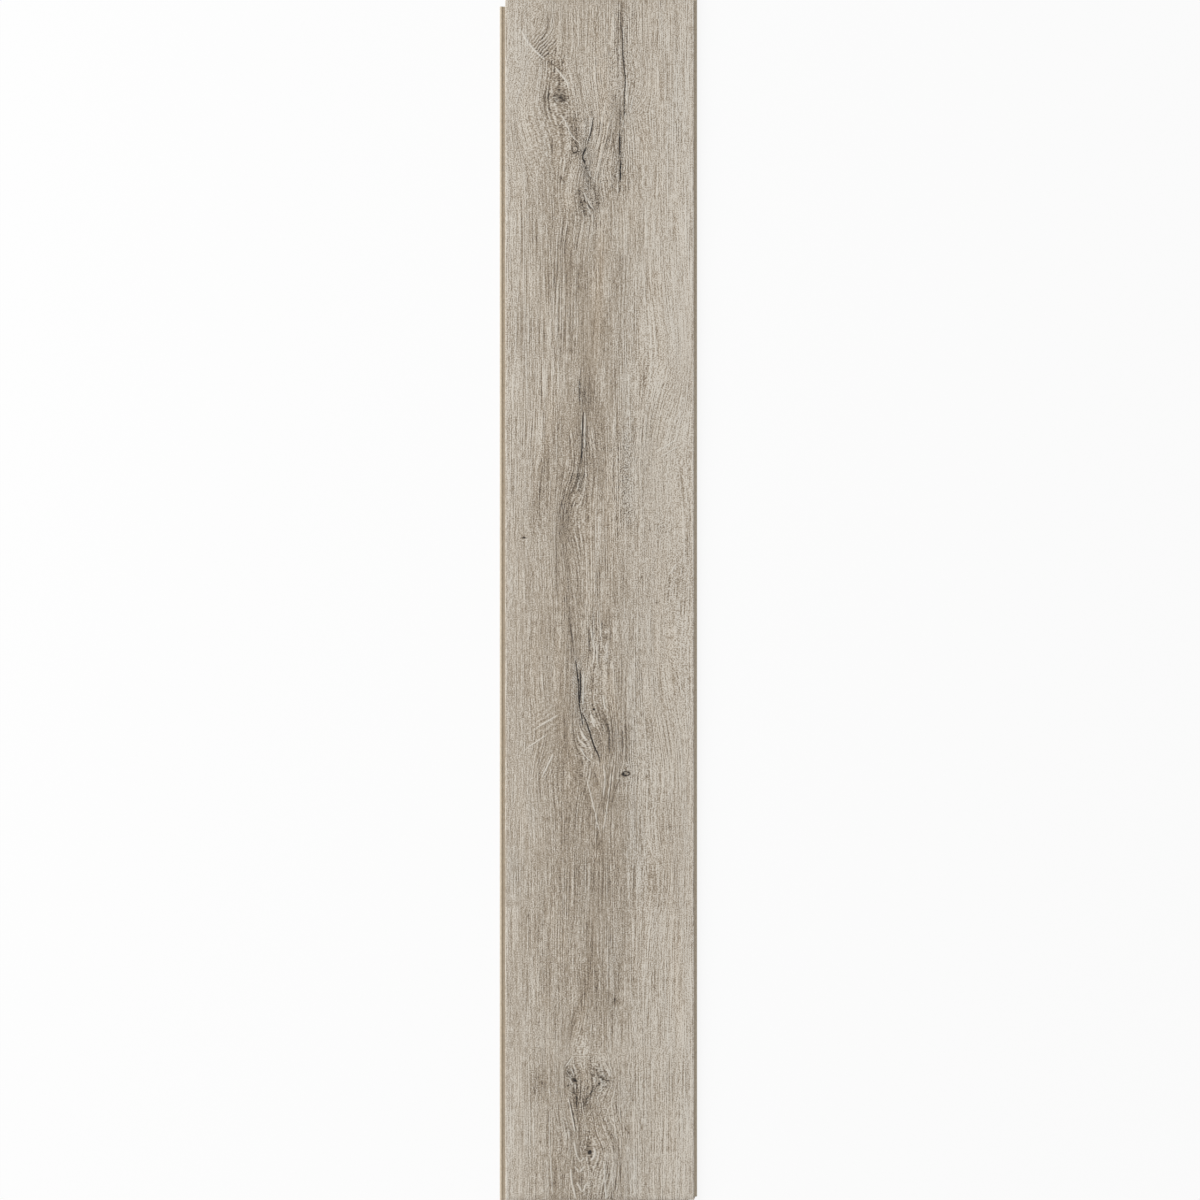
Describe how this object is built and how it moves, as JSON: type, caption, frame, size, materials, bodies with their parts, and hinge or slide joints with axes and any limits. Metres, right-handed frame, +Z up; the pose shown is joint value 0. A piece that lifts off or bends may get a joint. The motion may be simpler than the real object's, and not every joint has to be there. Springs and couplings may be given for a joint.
{
  "type": "laminate floor plank",
  "caption": "Flat pressed laminate floor plank with a printed, embossed oak face, milled all round with an angling click profile.",
  "frame": {"origin": "on the underside, below the centre of the visible face", "axes": "+Y along the plank towards the end tongue, +X across it towards the long tongue, +Z up through the decorative face"},
  "size_m": [0.1976, 1.2086, 0.008],
  "materials": {
    "laminate": "matt printed and embossed greige oak laminate on high-density fibreboard"
  },
  "bodies": {
    "root": {"plank": "laminate"}
  },
  "joints": []
}
